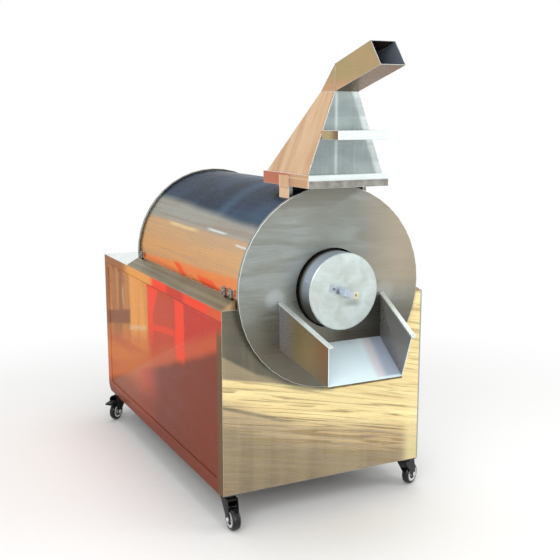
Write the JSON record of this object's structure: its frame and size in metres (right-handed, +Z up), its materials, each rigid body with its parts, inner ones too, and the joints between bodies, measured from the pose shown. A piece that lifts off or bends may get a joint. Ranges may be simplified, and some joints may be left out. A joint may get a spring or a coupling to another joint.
{
  "type": "nut roasting machine",
  "caption": "Stainless roasting drum in a wheeled cabinet, with a pull-off lid, discharge chute and fume hood with a slanted duct.",
  "frame": {"origin": "on the floor, at the middle of the overall length and width", "axes": "+Z up, -Y towards the front with the drum's mouth and chute, +X to the right seen from the front; the drum's axis runs along Y"},
  "size_m": [0.9132, 1.752, 1.613],
  "materials": {
    "polished_stainless": "half-polished stainless sheet",
    "brushed_stainless": "dull brushed stainless sheet",
    "bare_steel": "bare mild steel",
    "dark_paint": "satin paint",
    "belt_rubber": "matt",
    "wool": "pressed mineral wool",
    "black_plastic": "satin black",
    "grey_plastic": "light grey, half gloss",
    "tyre_rubber": "glossy dark tread",
    "green_plastic": "gloss",
    "red_plastic": "gloss"
  },
  "bodies": {
    "cabinet": {"front_panel": "polished_stainless", "rear_panel": "polished_stainless", "side_panel_left": "polished_stainless", "side_panel_right": "polished_stainless", "ledge_left": "polished_stainless", "ledge_right": "polished_stainless", "drive_cover": "polished_stainless", "drum_cover": "polished_stainless", "lower_casing": "polished_stainless", "chute": "polished_stainless", "chute_stay_left": "polished_stainless", "chute_stay_right": "polished_stainless", "hood_collar": "polished_stainless", "hood": "polished_stainless", "exhaust_duct": "polished_stainless", "hood_strap": "polished_stainless", "control_box": "polished_stainless", "front_end_disc": "brushed_stainless", "rear_end_disc": "brushed_stainless", "side_frame_left": "bare_steel", "side_frame_right": "bare_steel", "cross_member_front": "bare_steel", "cross_member_rear": "bare_steel", "cross_member_drive": "bare_steel", "bearing_beam": "bare_steel", "heater_left": "bare_steel", "heater_right": "bare_steel", "roller_bracket_left": "bare_steel", "roller_bracket_right": "bare_steel", "rear_bearing": "dark_paint", "gearmotor": "dark_paint", "drive_belt": "belt_rubber", "insulation": "wool"},
    "drum": {"roasting_drum": "bare_steel", "drum_flight_1": "bare_steel", "drum_flight_2": "bare_steel", "drum_pulley": "bare_steel"},
    "lid": {"lid": "brushed_stainless", "lid_handle": "polished_stainless"},
    "motor_pulley": {"motor_pulley": "bare_steel"},
    "roller_left": {"front_roller_left": "bare_steel"},
    "roller_right": {"front_roller_right": "bare_steel"},
    "control_door": {"control_door": "polished_stainless"},
    "selector_knob": {"selector_knob": "black_plastic"},
    "start_button": {"start_button": "green_plastic"},
    "stop_button": {"stop_button": "red_plastic"},
    "fork_front_left": {"caster_fork_front_left": "black_plastic"},
    "wheel_front_left": {"caster_hub_front_left": "grey_plastic", "caster_tyre_front_left": "tyre_rubber"},
    "fork_front_right": {"caster_fork_front_right": "black_plastic"},
    "wheel_front_right": {"caster_hub_front_right": "grey_plastic", "caster_tyre_front_right": "tyre_rubber"},
    "fork_rear_left": {"caster_fork_rear_left": "black_plastic"},
    "wheel_rear_left": {"caster_hub_rear_left": "grey_plastic", "caster_tyre_rear_left": "tyre_rubber"},
    "pedal_rear_left": {"brake_pedal_rear_left": "black_plastic"},
    "fork_rear_right": {"caster_fork_rear_right": "black_plastic"},
    "wheel_rear_right": {"caster_hub_rear_right": "grey_plastic", "caster_tyre_rear_right": "tyre_rubber"},
    "pedal_rear_right": {"brake_pedal_rear_right": "black_plastic"}
  },
  "joints": [
    {"name": "drum_spin", "type": "hinge", "parent": "cabinet", "child": "drum", "pos_m": [0, 0, 0.816], "axis": [0, 1, 0], "continuous": true},
    {"name": "lid_pull", "type": "slide", "parent": "drum", "child": "lid", "axis": [0, -1, 0], "range_m": [0, 0.09]},
    {"name": "motor_pulley_spin", "type": "hinge", "parent": "cabinet", "child": "motor_pulley", "pos_m": [0, 0.657, 0.212], "axis": [0, 1, 0], "continuous": true},
    {"name": "roller_left_spin", "type": "hinge", "parent": "cabinet", "child": "roller_left", "pos_m": [-0.09258, -0.488, 0.68379], "axis": [0, 1, 0], "continuous": true},
    {"name": "roller_right_spin", "type": "hinge", "parent": "cabinet", "child": "roller_right", "pos_m": [0.09258, -0.488, 0.68379], "axis": [0, 1, 0], "continuous": true},
    {"name": "control_door_hinge", "type": "hinge", "parent": "cabinet", "child": "control_door", "pos_m": [0.4013, 0.806, 0.595], "axis": [0, 0, 1], "range_deg": [0, 110]},
    {"name": "selector_turn", "type": "hinge", "parent": "control_door", "child": "selector_knob", "pos_m": [0.4006, 0.63984, 0.56308], "axis": [1, 0, 0], "range_deg": [-45, 45]},
    {"name": "start_button_push", "type": "slide", "parent": "control_door", "child": "start_button", "axis": [-1, 0, 0], "range_m": [0, 0.004], "stiffness_N_per_m": 300},
    {"name": "stop_button_push", "type": "slide", "parent": "control_door", "child": "stop_button", "axis": [-1, 0, 0], "range_m": [0, 0.004], "stiffness_N_per_m": 300},
    {"name": "swivel_front_left", "type": "hinge", "parent": "cabinet", "child": "fork_front_left", "pos_m": [-0.365, -0.463, 0.1], "axis": [0, 0, 1], "continuous": true},
    {"name": "roll_front_left", "type": "hinge", "parent": "fork_front_left", "child": "wheel_front_left", "pos_m": [-0.365, -0.505, 0.04], "axis": [1, 0, 0], "continuous": true},
    {"name": "swivel_front_right", "type": "hinge", "parent": "cabinet", "child": "fork_front_right", "pos_m": [0.365, -0.463, 0.1], "axis": [0, 0, 1], "continuous": true},
    {"name": "roll_front_right", "type": "hinge", "parent": "fork_front_right", "child": "wheel_front_right", "pos_m": [0.40285, -0.44479, 0.04], "axis": [-0.4337, 0.9011, 0], "continuous": true},
    {"name": "swivel_rear_left", "type": "hinge", "parent": "cabinet", "child": "fork_rear_left", "pos_m": [-0.365, 0.804, 0.1], "axis": [0, 0, 1], "continuous": true},
    {"name": "roll_rear_left", "type": "hinge", "parent": "fork_rear_left", "child": "wheel_rear_left", "pos_m": [-0.3981, 0.77814, 0.04], "axis": [0.6157, -0.788, 0], "continuous": true},
    {"name": "brake_rear_left", "type": "hinge", "parent": "fork_rear_left", "child": "pedal_rear_left", "pos_m": [-0.4111, 0.76798, 0.092], "axis": [0.6157, -0.788, 0], "range_deg": [0, 12]},
    {"name": "swivel_rear_right", "type": "hinge", "parent": "cabinet", "child": "fork_rear_right", "pos_m": [0.365, 0.804, 0.1], "axis": [0, 0, 1], "continuous": true},
    {"name": "roll_rear_right", "type": "hinge", "parent": "fork_rear_right", "child": "wheel_rear_right", "pos_m": [0.3981, 0.77814, 0.04], "axis": [0.6157, 0.788, 0], "continuous": true},
    {"name": "brake_rear_right", "type": "hinge", "parent": "fork_rear_right", "child": "pedal_rear_right", "pos_m": [0.4111, 0.76798, 0.092], "axis": [0.6157, 0.788, 0], "range_deg": [0, 12]}
  ],
  "couplings": [
    {"joint": "motor_pulley_spin", "follows": "drum_spin", "ratio": 2.8679},
    {"joint": "roller_left_spin", "follows": "drum_spin", "ratio": -4.75},
    {"joint": "roller_right_spin", "follows": "drum_spin", "ratio": -4.75}
  ]
}
